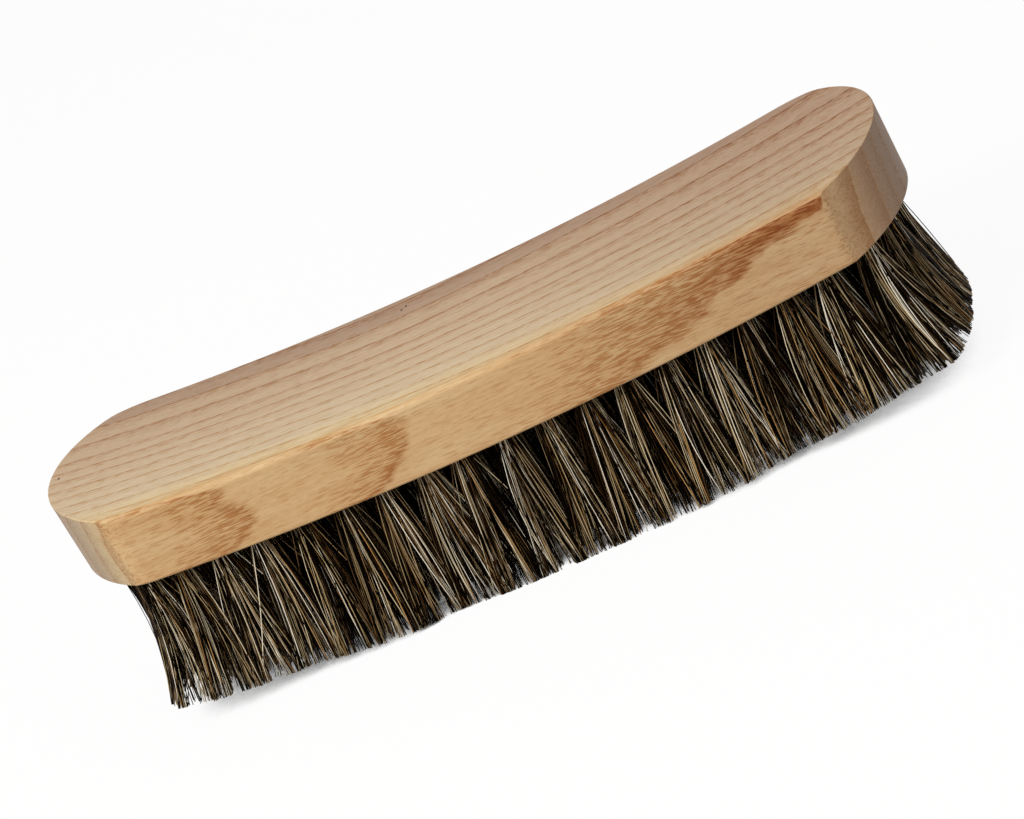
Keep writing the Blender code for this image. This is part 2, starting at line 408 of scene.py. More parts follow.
def quarter_outline(corner_radius, along, across):
    """From the middle of an end to the middle of a side; the signs choose which quarter."""
    half_width = BLOCK_WIDTH / 2
    corner_y = half_width - corner_radius
    corner_x = END_CENTRE + math.sqrt((END_RADIUS - corner_radius) ** 2 - corner_y**2)
    meeting = math.atan2(corner_y, corner_x - END_CENTRE)
    end = arc_points(Vector((END_CENTRE, 0)), END_RADIUS, 0, meeting, END_STEPS // 2)
    corner_middle = Vector((corner_x, corner_y))
    corner = arc_points(corner_middle, corner_radius, meeting, math.pi / 2, CORNER_STEPS)
    side = []
    for step in range(1, SIDE_STEPS + 1):
        place = Vector((corner_x * (1 - step / SIDE_STEPS), half_width))
        side.append((place, Vector((0, 1))))
    signs = Vector((along, across))
    return [(point * signs, out * signs) for point, out in end + corner[1:] + side]


def whole_outline():
    """The whole outline, anticlockwise, as (point, outward direction) pairs."""
    far_right = quarter_outline(FAR_CORNER_RADIUS, 1, 1)
    far_left = quarter_outline(FAR_CORNER_RADIUS, -1, 1)
    near_left = quarter_outline(NEAR_LEFT_CORNER_RADIUS, -1, -1)
    near_right = quarter_outline(NEAR_RIGHT_CORNER_RADIUS, 1, -1)
    return far_right + far_left[-2::-1] + near_left[1:] + near_right[-2:0:-1]


print("points round the block:", len(whole_outline()))

# %% [markdown]
# # Rounded edges
#
# A bevel modifier takes one radius, or one weight for each edge. Here the radius
# changes evenly on the way round: full along the sides, small along the ends. So
# each rounded edge is drawn as a few rings, and every point of a ring is drawn in
# from the outline by its own radius. How far the outline faces a side decides it.

# %% Rings over an edge
ARRIS_STEPS = 6
SIDE_FACING_FROM = 0.86
SIDE_FACING_FULL = 0.999


def side_share(out):
    """0 on an end, 1 on a long side, with an even change over the upright corners."""
    share = (abs(out.y) - SIDE_FACING_FROM) / (SIDE_FACING_FULL - SIDE_FACING_FROM)
    return min(max(share, 0), 1)


def arris_rings(outline, side_radius, height, direction):
    """Rings over a rounded edge, from the upright wall inwards; direction is 1 for the top."""
    rings = []
    for step in range(ARRIS_STEPS + 1):
        turn = math.pi / 2 * step / ARRIS_STEPS
        ring = []
        for point, out in outline:
            share = side_share(out)
            radius = END_ARRIS_RADIUS + (side_radius - END_ARRIS_RADIUS) * share
            inward = radius * (1 - math.cos(turn))
            level = height - direction * radius * (1 - math.sin(turn))
            flat = point - out * inward
            ring.append(Vector((flat.x, flat.y, level)))
        rings.append(ring)
    return rings


print("rings over each edge:", ARRIS_STEPS + 1)

# %% The flat block, sliced and bent
SLICE_PITCH = 3.0 * MM
SLICE_MERGE = 0.001 * MM


def flat_block():
    """The block before bending, as one closed mesh."""
    outline = whole_outline()
    lower = arris_rings(outline, LOWER_ARRIS_RADIUS, 0, -1)
    upper = arris_rings(outline, TOP_ARRIS_RADIUS, BLOCK_THICKNESS, 1)
    shape = bmesh.new()
    rings = [[shape.verts.new(point) for point in ring] for ring in lower[::-1] + upper]
    count = len(outline)
    for low, high in zip(rings, rings[1:]):
        for index in range(count):
            after = (index + 1) % count
            shape.faces.new((low[index], low[after], high[after], high[index]))
    shape.faces.new(rings[0][::-1])
    shape.faces.new(rings[-1])
    return shape


def slice_across(shape):
    """Cut the mesh at even steps along its length, so that it can follow a bend."""
    steps = int(BLOCK_LENGTH / SLICE_PITCH)
    for step in range(1, steps):
        place = BLOCK_LENGTH * (step / steps - 0.5)
        everything = shape.verts[:] + shape.edges[:] + shape.faces[:]
        bmesh.ops.bisect_plane(
            shape, geom=everything, dist=SLICE_MERGE, plane_co=(place, 0, 0), plane_no=(1, 0, 0)
        )


def bend(shape):
    """Lift every point from the flat block onto the bent one."""
    for vert in shape.verts:
        low = underside_height(vert.co.x)
        share = vert.co.z / BLOCK_THICKNESS
        vert.co.z = low + (top_height(vert.co.x) - low) * share


def make_block():
    shape = flat_block()
    slice_across(shape)
    bend(shape)
    bmesh.ops.recalc_face_normals(shape, faces=shape.faces)
    return object_from("sanded_block", shape)


block = make_block()
print("faces of the block before drilling:", len(block.data.polygons))

# %% [markdown]
# # The drilled holes
#
# The underside holds five lengthwise lines of holes, evenly spaced, closed at each
# end by a curved row with two holes in its hollow. All drills go into one mesh, and
# one boolean modifier takes them out of the block together, which is quicker and
# safer than a cut for each hole.

# %% Where the holes are
HOLE_DIAMETER = 4.6 * MM
HOLE_DEPTH = 9.0 * MM
HOLE_SIDES = 20
HOLE_INSET = 6.5 * MM
END_HOLE_PITCH = 10.0 * MM
LINE_COUNT = 5
COLUMN_COUNT = 17


def end_row():
    """Holes of the curved row along the right end."""
    radius = END_RADIUS - HOLE_INSET
    corner = math.asin((BLOCK_WIDTH / 2 - HOLE_INSET) / radius)
    per_side = int(corner * radius / END_HOLE_PITCH)
    places = []
    for index in range(-per_side, per_side + 1):
        angle = END_HOLE_PITCH / radius * index
        out = Vector((math.cos(angle), math.sin(angle)))
        places.append(Vector((END_CENTRE, 0)) + out * radius)
    return places


def hole_rows():
    """Every row of holes, from the left end to the right one."""
    half_field = BLOCK_WIDTH / 2 - HOLE_INSET
    lines = [half_field * (2 * line / (LINE_COUNT - 1) - 1) for line in range(LINE_COUNT)]
    curved = end_row()
    gaps = COLUMN_COUNT + 1
    columns = [curved[0].x * (2 * column / gaps - 1) for column in range(1, gaps)]
    halfway = (columns[-1] + BLOCK_LENGTH / 2 - HOLE_INSET) / 2
    offset = (lines[1] - lines[0]) / 2
    right = curved + [Vector((halfway, -offset)), Vector((halfway, offset))]
    left = [Vector((-hole.x, hole.y)) for hole in right]
    return [left] + [[Vector((x, y)) for y in lines] for x in columns] + [right]


rows = hole_rows()
print("rows:", len(rows), "holes:", sum(len(row) for row in rows))

# %% Drill them


def make_drills():
    """One mesh of upright drills, each ending at the bottom of its hole."""
    shape = bmesh.new()
    for row in rows:
        for hole in row:
            bottom = underside_height(hole.x) + HOLE_DEPTH
            middle = Vector((hole.x, hole.y, bottom - HOLE_DEPTH))
            bmesh.ops.create_cone(
                shape,
                cap_ends=True,
                segments=HOLE_SIDES,
                radius1=HOLE_DIAMETER / 2,
                radius2=HOLE_DIAMETER / 2,
                depth=2 * HOLE_DEPTH,
                matrix=Matrix.Translation(middle),
            )
    return object_from("drills", shape)


def drill(solid):
    """Take the drills out of the solid and keep the result as its mesh."""
    drills = make_drills()
    cut = solid.modifiers.new("drilling", "BOOLEAN")
    cut.operation = "DIFFERENCE"
    cut.solver = "EXACT"
    cut.object = drills
    bpy.context.view_layer.update()
    evaluated = solid.evaluated_get(bpy.context.evaluated_depsgraph_get())
    drilled = bpy.data.meshes.new_from_object(evaluated)
    solid.modifiers.clear()
    solid.data = drilled
    drilled.name = solid.name
    bpy.data.objects.remove(drills)


drill(block)
print("faces of the drilled block:", len(block.data.polygons))

# %% [markdown]
# # Smooth and sharp
#
# The faces are shaded smooth, with the rims of the holes kept sharp. Large flat
# faces next to narrow curved ones would take on a false gradient, so a weighted
# normal modifier lets the large faces decide the direction at their edges.

# %% Shading of the block
SHARP_ANGLE = math.radians(35)

block.data.shade_smooth()
block.data.set_sharp_from_angle(angle=SHARP_ANGLE)
weighting = block.modifiers.new("weighting", "WEIGHTED_NORMAL")
weighting.keep_sharp = True

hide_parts("wood_block")
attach(block, "root")
print("modifiers on the block:", block.modifiers.keys())

# %% [markdown]
# # Ring-porous wood
#
# Ash and its relatives grow a band of wide pores each spring and dense, pale wood
# after it. Where a cut crosses the rings, the bands show as thin lines, as on top
# of this block. Where it runs along them, one band spreads into a flame of short
# dark dashes, as on the near side. On the ends the pores show as dots.
#
# An image of a grain would need a map for every face, and its lines would stop at
# the edges. So the rings are described in space, once: each point of the block
# gets its place across the rings, and lines, flames and dots all follow from it.

# %% The place across the rings
KNOT_X = -18.0
KNOT_SOFTNESS = 16.0
LEFT_SLOPE = 0.066
RIGHT_SLOPE = 0.015
RIGHT_FAN = 0.0029
LEFT_SIDE_BOW = 0.0085
RIGHT_SIDE_BOW = -0.0026
SIDE_TILT = 0.065
SIDE_TWIST = 0.0011
TWIST_UNTIL = 5.0
BOW_CHANGE = (-10.0, 55.0)
NEAR_DIP = 1.83
DIP_ALONG = (35.0, 105.0)
DIP_ACROSS = (-6.0, -26.0)
HALF_THICKNESS = BLOCK_THICKNESS / MM / 2
WANDER = 1.1
WANDER_GRAIN = (46.0, 9.0, 9.0)
RIPPLE = 0.44
RIPPLE_GRAIN = (9.0, 2.4, 2.4)


def millimetres(tree):
    """Coordinates of the block in millimetres, as a vector and as three numbers."""
    place = tree.nodes.new("ShaderNodeTexCoord").outputs["Object"]
    scaled = calculate_vector(tree, "MULTIPLY", place, (1 / MM, 1 / MM, 1 / MM)).outputs[0]
    return scaled, add_node(tree, "ShaderNodeSeparateXYZ", Vector=scaled).outputs


def stretched_noise(tree, place, grain, detail=2.0):
    """Noise drawn out along the grain: the grain gives one length for each direction, in mm."""
    shrunk = calculate_vector(tree, "DIVIDE", place, grain).outputs[0]
    noise = add_node(tree, "ShaderNodeTexNoise", Vector=shrunk, Scale=1.0, Detail=detail)
    return noise.outputs["Fac"]


def across_rings(tree, place, x, y, z):
    """Distance across the rings, in mm: level lines of it are the rings."""
    from_knot = calculate(tree, "SUBTRACT", x, KNOT_X)
    left = calculate(tree, "SMOOTH_MIN", from_knot, 0.0, KNOT_SOFTNESS)
    right = calculate(tree, "SMOOTH_MAX", from_knot, 0.0, KNOT_SOFTNESS)
    climbed = calculate(tree, "MULTIPLY_ADD", left, LEFT_SLOPE, y)
    climbed = calculate(tree, "MULTIPLY_ADD", right, -RIGHT_SLOPE, climbed)
    fan = calculate(tree, "MULTIPLY_ADD", right, RIGHT_FAN, 1.0)
    spread = calculate(tree, "DIVIDE", climbed, fan)
    return calculate(tree, "ADD", spread, below_top(tree, place, x, y, z))


def below_top(tree, place, x, y, z):
    """How the rings shift below the top: a bow over the thickness, a twist, and a wander."""
    squared = calculate(tree, "MULTIPLY", x, x)
    lifted = calculate(tree, "MULTIPLY", squared, MM / TOP_BEND_RADIUS / 2)
    top = calculate(tree, "ADD", lifted, (UNDERSIDE_HEIGHT + BLOCK_THICKNESS) / MM)
    depth = calculate(tree, "SUBTRACT", z, top)
    from_middle = calculate(tree, "ADD", depth, HALF_THICKNESS)
    bow = calculate(tree, "MULTIPLY", from_middle, from_middle)
    bow = calculate(tree, "ADD", bow, -(HALF_THICKNESS**2))
    bow_size = grade(tree, x, *BOW_CHANGE, LEFT_SIDE_BOW, RIGHT_SIDE_BOW)
    bow = calculate(tree, "MULTIPLY", bow, bow_size)
    twisting = calculate(tree, "MINIMUM", x, TWIST_UNTIL)
    tilt = calculate(tree, "MULTIPLY_ADD", twisting, -SIDE_TWIST, -SIDE_TILT)
    tilted = calculate(tree, "MULTIPLY_ADD", depth, tilt, bow)
    to_right = grade(tree, x, *DIP_ALONG, soft=False)
    dip = calculate(tree, "MULTIPLY", to_right, grade(tree, y, *DIP_ACROSS))
    tilted = calculate(tree, "MULTIPLY_ADD", dip, -NEAR_DIP, tilted)
    slow = stretched_noise(tree, place, WANDER_GRAIN)
    wander = calculate(tree, "MULTIPLY_ADD", slow, WANDER, -WANDER / 2)
    quick = stretched_noise(tree, place, RIPPLE_GRAIN)
    ripple = calculate(tree, "MULTIPLY_ADD", quick, RIPPLE, -RIPPLE / 2)
    shift = calculate(tree, "ADD", tilted, wander)
    return calculate(tree, "ADD", shift, ripple)


print("the rings turn at x, mm:", KNOT_X)

# %% From the place to the rings
FIRST_RING = 2.5
FAR_RING_WIDTH = 7.5
NEAR_RING_WIDTH = 4.43
OUTER_RINGS_FROM = 31.0
OUTER_RING_WIDTH = 3.0


def ring_count(tree, distance):
    """How many rings lie between here and the first one: wide at the far side, then narrower."""
    from_first = calculate(tree, "SUBTRACT", distance, FIRST_RING)
    far = calculate(tree, "MAXIMUM", from_first, 0.0)
    near = calculate(tree, "MINIMUM", from_first, 0.0)
    near = calculate(tree, "MAXIMUM", near, -OUTER_RINGS_FROM)
    outer = calculate(tree, "ADD", from_first, OUTER_RINGS_FROM)
    outer = calculate(tree, "MINIMUM", outer, 0.0)
    count = calculate(tree, "DIVIDE", far, FAR_RING_WIDTH)
    count = calculate(tree, "MULTIPLY_ADD", near, 1 / NEAR_RING_WIDTH, count)
    return calculate(tree, "MULTIPLY_ADD", outer, 1 / OUTER_RING_WIDTH, count)


print("ring widths, mm:", FAR_RING_WIDTH, NEAR_RING_WIDTH, OUTER_RING_WIDTH)

# %% [markdown]
# # The pale wood between the rings
#
# No plank is one colour. This one drifts from a greyish pink at the far side over
# beige to yellow at the near side, and it darkens towards the right end. A colour
# ramp over the width gives the drift, and a slow noise moves it a little, so that
# it follows no straight line.

# %% The drift of colour
SIDE_PALE = paint(206, 170, 123)
BAND_PALE = paint(220, 198, 156)
NEAR_PALE = paint(211, 191, 159)
MIDDLE_PALE = paint(199, 173, 143)
FAR_PALE = paint(185, 157, 127)
RIGHT_BROWN = paint(158, 124, 98)
HEART_PINK = paint(158, 127, 106)
HEART = (16.5, 18.0, 0.0, 0.55)
CLOUD_GRAIN = (34.0, 5.0, 5.0)
CLOUD_SHIFT = 5.0
FINE_DETAIL = 3.0
BROWN_ALONG = (-10.0, 90.0, 0.0, 0.46)
BROWN_NEAR = (-28.0, -20.0, 0.7, 1.0)
BROWN_ON_SIDE = 0.95
DRIFT_STOPS = (
    (-28.5, SIDE_PALE),
    (-25.5, BAND_PALE),
    (-20.0, NEAR_PALE),
    (4.0, MIDDLE_PALE),
    (27.0, FAR_PALE),
)


def colour_ramp(tree, value, stops):
    """A colour ramp over a value, with its stops at places of that value."""
    ramp = tree.nodes.new("ShaderNodeValToRGB")
    low, high = stops[0][0], stops[-1][0]
    elements = ramp.color_ramp.elements
    while len(elements) < len(stops):
        elements.new(0.5)
    for element, (stop, colour) in zip(elements, stops):
        element.position = (stop - low) / (high - low)
        element.color = colour
    tree.links.new(grade(tree, value, low, high, soft=False), ramp.inputs["Fac"])
    return ramp.outputs["Color"]


def pale_wood(tree, place, x, y, distance, side):
    """The colour of the wood without its rings and pores."""
    cloud = stretched_noise(tree, place, CLOUD_GRAIN, FINE_DETAIL)
    drifted = calculate(tree, "MULTIPLY_ADD", cloud, CLOUD_SHIFT, y)
    drifted = calculate(tree, "ADD", drifted, -CLOUD_SHIFT / 2)
    colour = colour_ramp(tree, drifted, DRIFT_STOPS)
    brown = grade(tree, x, *BROWN_ALONG)
    brown = calculate(tree, "MULTIPLY", brown, blend_numbers(tree, side, 1.0, BROWN_ON_SIDE))
    brown = calculate(tree, "MULTIPLY", brown, grade(tree, y, *BROWN_NEAR))
    colour = blend_colours(tree, brown, colour, RIGHT_BROWN)
    return blend_colours(tree, grade(tree, distance, *HEART), colour, HEART_PINK)


print("colours over the width:", len(DRIFT_STOPS))

# %% [markdown]
# # Pores
#
# A pore is a tube along the grain, a quarter of a millimetre wide. A cut along the
# grain opens it as a short dash, and a cut across the grain shows it as a dot. A
# cell pattern drawn out along the grain gives both at once: the heart of each cell
# is a pore. Each cell also has a number of its own, and a pore is only kept where
# that number is below the density wanted there, so the pores crowd into the rings.
# Between these long pores lie many finer ones, for which a threshold on a drawn-out
# noise is enough.

# %% The pores
LONG_GRAIN = (6.0, 0.42, 0.42)
LONG_RIM = (0.2, 0.36, 1.0, 0.0)
FINE_GRAIN = (3.8, 0.36, 0.36)
FINE_RIM = (0.0, 0.1)
SPARSE_THRESHOLD = 0.61
THRESHOLD_DROP = 0.14
PLAIN_DENSITY = 0.1
SIDE_DENSITY = 0.25
RING_DENSITY = 0.7


def long_pores(tree, place, density):
    """1 in the heart of the cells that are kept, falling to 0 at the rim."""
    shrunk = calculate_vector(tree, "DIVIDE", place, LONG_GRAIN).outputs[0]
    cells = add_node(tree, "ShaderNodeTexVoronoi", Vector=shrunk, Scale=1.0)
    lot = add_node(tree, "ShaderNodeSeparateColor", Color=cells.outputs["Color"])
    kept = calculate(tree, "LESS_THAN", lot.outputs[0], density)
    return calculate(tree, "MULTIPLY", grade(tree, cells.outputs["Distance"], *LONG_RIM), kept)


def fine_pores(tree, place, density):
    """Short dashes, few at a density of 0 and half of the surface at 1."""
    noise = stretched_noise(tree, place, FINE_GRAIN)
    threshold = calculate(tree, "MULTIPLY_ADD", density, -THRESHOLD_DROP, SPARSE_THRESHOLD)
    return grade(tree, calculate(tree, "SUBTRACT", noise, threshold), *FINE_RIM)


def all_pores(tree, place, side, crowding):
    """1 in a pore, long or fine: some everywhere, more on the sides, most by a ring."""
    density = calculate(tree, "MULTIPLY_ADD", side, SIDE_DENSITY, PLAIN_DENSITY)
    density = calculate(tree, "MULTIPLY_ADD", crowding, RING_DENSITY, density)
    fine = fine_pores(tree, place, density)
    return calculate(tree, "MAXIMUM", long_pores(tree, place, density), fine)


print("cells of long pores, mm:", LONG_GRAIN)

# %% [markdown]
# # Flames and lines
#
# The place across the rings gives a phase, from 0 at the start of a year's growth
# to 1 at its end, where the wide pores of the next spring lie. Pores grow denser
# towards that line, and a row of short dashes lies along it. They show clearly on
# the long sides, faintly on the ends, and on top more and more to the far right.

# %% The faces of the block
FACING_END = (0.35, 0.8)
FACING_SIDE = (0.4, 0.85)
STRENGTH_ACROSS = (-27.0, 15.0, 0.4, 0.95)
STRENGTH_ALONG = (-90.0, 70.0, 0.8, 1.05)
STRENGTH_ON_END = 0.32


def facing(tree):
    """How far the surface faces an end of the block, and how far it faces a long side."""
    normal = tree.nodes.new("ShaderNodeTexCoord").outputs["Normal"]
    parts = add_node(tree, "ShaderNodeSeparateXYZ", Vector=normal).outputs
    end = grade(tree, calculate(tree, "ABSOLUTE", parts[0]), *FACING_END)
    side = grade(tree, calculate(tree, "ABSOLUTE", parts[1]), *FACING_SIDE)
    return end, side


def ring_strength(tree, x, y, end, side):
    """How strongly rings and pores show, by the face and by the place on top."""
    across = grade(tree, y, *STRENGTH_ACROSS)
    along = grade(tree, x, *STRENGTH_ALONG)
    on_top = calculate(tree, "MULTIPLY", across, along)
    lengthwise = blend_numbers(tree, side, on_top, 1.0)
    return blend_numbers(tree, end, lengthwise, STRENGTH_ON_END)


print("strength of the rings on an end:", STRENGTH_ON_END)

# %% Flames and lines
CROWDING = (0.3, 0.92)
LINE = (0.84, 0.95)
RING_END = 0.97
RING_END_ON_SIDE = (20.0, 60.0, 0.92, 0.97)
FADING_ON_SIDE = (84.0, 98.0, 1.0, 0.35)
DASH_GRAIN = (1.8, 0.45, 0.45)
DASHES = (0.4, 0.6, 0.2, 1.0)


def ring_marks(tree, place, x, side, distance):
    """How densely pores crowd towards the end of a year, and the line of dashes there."""
    phase = calculate(tree, "FRACT", ring_count(tree, distance))
    ring_end = blend_numbers(tree, side, RING_END, grade(tree, x, *RING_END_ON_SIDE))
    over = grade(tree, phase, ring_end, 1.0, 1.0, 0.0)
    fading = blend_numbers(tree, side, 1.0, grade(tree, x, *FADING_ON_SIDE))
    crowding = calculate(tree, "MULTIPLY", grade(tree, phase, *CROWDING), over)
    crowding = calculate(tree, "MULTIPLY", crowding, fading)
    line = calculate(tree, "MULTIPLY", grade(tree, phase, *LINE), over)
    dashes = grade(tree, stretched_noise(tree, place, DASH_GRAIN), *DASHES)
    return crowding, calculate(tree, "MULTIPLY", line, dashes)


print("phases where a flame and a line begin:", CROWDING[0], LINE[0])

# %% [markdown]
# Stains and painted light
#
# A pore is the same wood in shade, so pores, flames and lines darken the wood that
# they lie in, each by a warm tint. The tint is multiplied in, because a plain mix
# would paint over the drift of colour. On top the rings are faint and golden at the
# near left, and clear and browner at the far right, and a pale streaky band runs
# beside the near edge. The ends of the block drink light and look darker. Painted
# light makes the near part of each end lighter than the rest, most on the right end,
# which is in shade, and there it keeps the lines pale; on the left end they are brown.

# %% Stains along the fibres, and the ends with painted light
FIBRE_TINT = paint(228, 214, 198)
STREAK_GRAIN = (14.0, 0.7, 0.7)
STREAKS = (0.35, 0.7)
STREAK_SHARE = 0.4
FIBRE_GRAIN = (2.2, 0.3, 0.3)
FIBRES = (0.35, 0.65)
FIBRE_SHARE = 0.3
# Painted light on the near parts of the ends, and on the lines of the right end.
LEFT_END_PAINTED_LIGHT = paint(209, 206, 209)
RIGHT_END_PAINTED_LIGHT = paint(240, 222, 214)
END_FAR_TINT = paint(191, 184, 184)
PAINTED_LIGHT_ACROSS = (-28.0, -8.0)
RIGHT_HALF = (-1.0, 1.0)
PAINTED_PALE_LINE_SHARE = 0.9


def stain(tree, share, colour, tint):
    """Darken a colour by a tint, by a share from 0 to 1."""
    return blend_colours(tree, share, colour, tint, "MULTIPLY")


def darken_ends_and_paint_light(tree, colour, x, y, end, line):
    """Darken the end grain; painted light spares the near part of each end, most on the right one,
    and the lines of the right end.
    """
    right_half = grade(tree, x, *RIGHT_HALF)
    # Painted light: the lines of the right end are darkened less, so they stay pale.
    painted_pale_lines = calculate(tree, "MULTIPLY", right_half, -PAINTED_PALE_LINE_SHARE)
    painted_pale_lines = calculate(tree, "MULTIPLY", line, painted_pale_lines)
    share = calculate(tree, "MULTIPLY_ADD", painted_pale_lines, end, end)
    # Painted light: the near part of each end is darkened less, most on the right end.
    painted_light_tint = blend_colours(tree, right_half, LEFT_END_PAINTED_LIGHT, RIGHT_END_PAINTED_LIGHT)
    tint = blend_colours(tree, grade(tree, y, *PAINTED_LIGHT_ACROSS), painted_light_tint, END_FAR_TINT)
    return stain(tree, share, colour, tint)


def stain_fibres(tree, colour, place, streaks):
    """Darken the wood along the long streaks, and along the short fibres."""
    fibres = grade(tree, stretched_noise(tree, place, FIBRE_GRAIN, FINE_DETAIL), *FIBRES)
    share = calculate(tree, "MULTIPLY", streaks, STREAK_SHARE)
    colour = stain(tree, share, colour, FIBRE_TINT)
    share = calculate(tree, "MULTIPLY", fibres, FIBRE_SHARE)
    return stain(tree, share, colour, FIBRE_TINT)


print("shares of streaks and fibres:", STREAK_SHARE, FIBRE_SHARE)

# %% Stains along the rings and in the pores
PORE_TINT = paint(208, 166, 110)
FAINT_LINE_TINT = paint(236, 198, 122)
CLEAR_LINE_TINT = paint(204, 160, 108)
FLAME_SHARE_ON_SIDE = (52.0, 76.0, 0.22, 0.85)
FLAME_SHARE_ON_TOP = 0.15
LINE_SHARE = 0.95
LINE_SHARE_ON_SIDE = 0.5
NEAR_BAND = (-28.0, -22.0, 0.4, 0.0)
PORE_SHARE = (40.0, 80.0, 0.35, 0.6)
CROWDED_PORE_SHARE = 0.42
FLECK_TINT = paint(110, 84, 60)
FLECK_SIZE = (0.32, 0.75, 0.9)
FLECK_RIM = (0.5, 1.1, 1.0, 0.0)
FLECKS = ((-15.7, 21.3, 49.7), (-14.6, 22.3, 49.6), (-99.2, 1.3, 55.4), (98.5, -12.6, 52.0))


def stain_rings(tree, colour, x, side, strength, crowding, line):
    """Darken the wood where pores crowd, and along the lines."""
    on_side = calculate(tree, "MULTIPLY", side, grade(tree, x, *FLAME_SHARE_ON_SIDE))
    on_top = calculate(tree, "MULTIPLY", strength, FLAME_SHARE_ON_TOP)
    share = calculate(tree, "MULTIPLY", crowding, calculate(tree, "MAXIMUM", on_side, on_top))
    colour = stain(tree, share, colour, PORE_TINT)
    tint = blend_colours(tree, strength, FAINT_LINE_TINT, CLEAR_LINE_TINT)
    share = blend_numbers(tree, side, LINE_SHARE, LINE_SHARE_ON_SIDE)
    return stain(tree, calculate(tree, "MULTIPLY", line, share), colour, tint)


def stain_near_band(tree, colour, y, side, streaks):
    """Tint the streaks beside the near edge of the top."""
    share = calculate(tree, "MULTIPLY", grade(tree, y, *NEAR_BAND), streaks)
    share = calculate(tree, "MULTIPLY", share, calculate(tree, "SUBTRACT", 1.0, side))
    return stain(tree, share, colour, FAINT_LINE_TINT)


def stain_pores(tree, colour, x, strength, crowding, pores):
    """Darken the pores, most where they crowd and towards the right end."""
    share = grade(tree, x, *PORE_SHARE)
    share = calculate(tree, "MULTIPLY_ADD", crowding, CROWDED_PORE_SHARE, share)
    share = calculate(tree, "MULTIPLY", share, strength)
    return stain(tree, calculate(tree, "MULTIPLY", pores, share), colour, PORE_TINT)


def stain_flecks(tree, colour, place):
    """Darken a few small marks in the wood."""
    marks = 0.0
    for fleck in FLECKS:
        offset = calculate_vector(tree, "SUBTRACT", place, fleck)
        sized = calculate_vector(tree, "DIVIDE", offset.outputs[0], FLECK_SIZE)
        length = calculate_vector(tree, "LENGTH", sized.outputs[0])
        mark = grade(tree, length.outputs["Value"], *FLECK_RIM)
        marks = calculate(tree, "MAXIMUM", mark, marks)
    return stain(tree, marks, colour, FLECK_TINT)


print("flecks:", len(FLECKS))

# %% The wood's material
WOOD_ROUGHNESS = 0.52
PORE_ROUGHNESS = 0.72
WOOD_SPECULAR = 0.3
PORE_DEPTH = 0.05 * MM
BUMP_STRENGTH = 0.3


def wood_material():
    material, tree, shader = new_material("bare_ash")
    place, (x, y, z) = millimetres(tree)
    end, side = facing(tree)
    distance = across_rings(tree, place, x, y, z)
    crowding, line = ring_marks(tree, place, x, side, distance)
    pores = all_pores(tree, place, side, crowding)
    strength = ring_strength(tree, x, y, end, side)
    streaks = grade(tree, stretched_noise(tree, place, STREAK_GRAIN, FINE_DETAIL), *STREAKS)

    colour = pale_wood(tree, place, x, y, distance, side)
    colour = darken_ends_and_paint_light(tree, colour, x, y, end, line)
    colour = stain_fibres(tree, colour, place, streaks)
    colour = stain_rings(tree, colour, x, side, strength, crowding, line)
    colour = stain_near_band(tree, colour, y, side, streaks)
    colour = stain_pores(tree, colour, x, strength, crowding, pores)
    colour = stain_flecks(tree, colour, place)
    tree.links.new(colour, shader.inputs["Base Color"])

    roughness = blend_numbers(tree, pores, WOOD_ROUGHNESS, PORE_ROUGHNESS)
    tree.links.new(roughness, shader.inputs["Roughness"])
    shader.inputs["Specular IOR Level"].default_value = WOOD_SPECULAR
    relief = calculate(tree, "SUBTRACT", 1.0, pores)
    bump = add_node(
        tree, "ShaderNodeBump", Height=relief, Strength=BUMP_STRENGTH, Distance=PORE_DEPTH
    )
    tree.links.new(bump.outputs["Normal"], shader.inputs["Normal"])
    return material


bare_wood = wood_material()
block.data.materials.clear()
block.data.materials.append(bare_wood)
print("nodes in the wood's material:", len(bare_wood.node_tree.nodes))

# %% [markdown]
# # The tufts
#
# Each tuft is a bundle of horsehair, folded in half over a wire anchor and pressed
# into its hole. It fans out below the mouth of the hole, and the ends are trimmed to
# a shallow crown. Tufts at the rim lean outwards, those at the corners most. Hair
# sticks together in thin locks, and a few stray hairs cross their neighbours.
#
# Chance alone would give the brush a fuzzy edge. A trimmed brush has a clear one, so
# three short tables say how far the hair reaches along a side and at each end. A
# hair that would end past them is turned back inside.
#
# Blender's own hair would render well, but it leaves with no shape when the model
# is exported. So every hair is a slim tube of three sides, and all hairs of a row
# are worked out together as arrays of numbers, which takes a moment where a loop
# over single points would take minutes.

# %% Where each tuft's end lies
SIDE_LEAN = 6.0 * MM
RIGHT_LEAN = 4.6 * MM
LEFT_LEAN = 0.8 * MM
LEAN_POWER = 4
CORNER_LEAN = Vector((10.0 * MM, 11.0 * MM))
CORNER_POWER = 12
FAR_CORNER_SHARE = 0.2


def tip_middle(hole):
    """The middle of a tuft's end in plan: outer tufts lean outwards, those at corners most."""
    along = abs(hole.x) / (BLOCK_LENGTH / 2 - HOLE_INSET)
    across = abs(hole.y) / (BLOCK_WIDTH / 2 - HOLE_INSET)
    corner = along**CORNER_POWER * across**2
    if hole.y > 0:
        corner *= FAR_CORNER_SHARE
    end_lean = RIGHT_LEAN if hole.x > 0 else LEFT_LEAN
    corner_reach = end_lean / RIGHT_LEAN
    lean_x = end_lean * along**LEAN_POWER + CORNER_LEAN.x * corner * corner_reach
    lean_y = SIDE_LEAN * across + CORNER_LEAN.y * corner
    return np.array(
        (hole.x + math.copysign(lean_x, hole.x), hole.y + math.copysign(lean_y, hole.y))
    )


print("end of the near right tuft, mm:", (tip_middle(rows[-1][0]) / MM).round(1))

